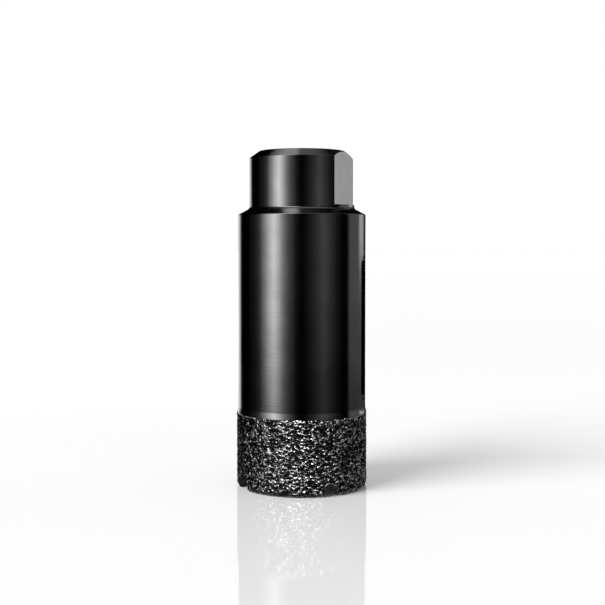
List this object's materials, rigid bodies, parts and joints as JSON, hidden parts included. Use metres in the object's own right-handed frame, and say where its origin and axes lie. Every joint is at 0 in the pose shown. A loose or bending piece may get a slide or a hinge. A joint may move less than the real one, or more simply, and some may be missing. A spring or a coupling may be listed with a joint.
{
  "type": "diamond core bit",
  "caption": "Hollow cylindrical core bit for tile and stone: threaded shank boss with wrench flats, slotted steel barrel and a brazed diamond grit crown with rim notches.",
  "frame": {"origin": "centre of the cutting rim, at the rim's end plane", "axes": "+Z along the axis, from the cutting rim towards the threaded shank; the two debris slots are centred on +X and -X"},
  "size_m": [0.035, 0.035, 0.0895],
  "materials": {
    "blackened_steel": "turned steel, blackened and oiled, glossy with fine turning marks",
    "diamond_grit": "coarse crystals held in dark nickel braze, rough and glinting"
  },
  "bodies": {
    "root": {"steel_body": "blackened_steel", "diamond_crown": "diamond_grit"}
  },
  "joints": []
}
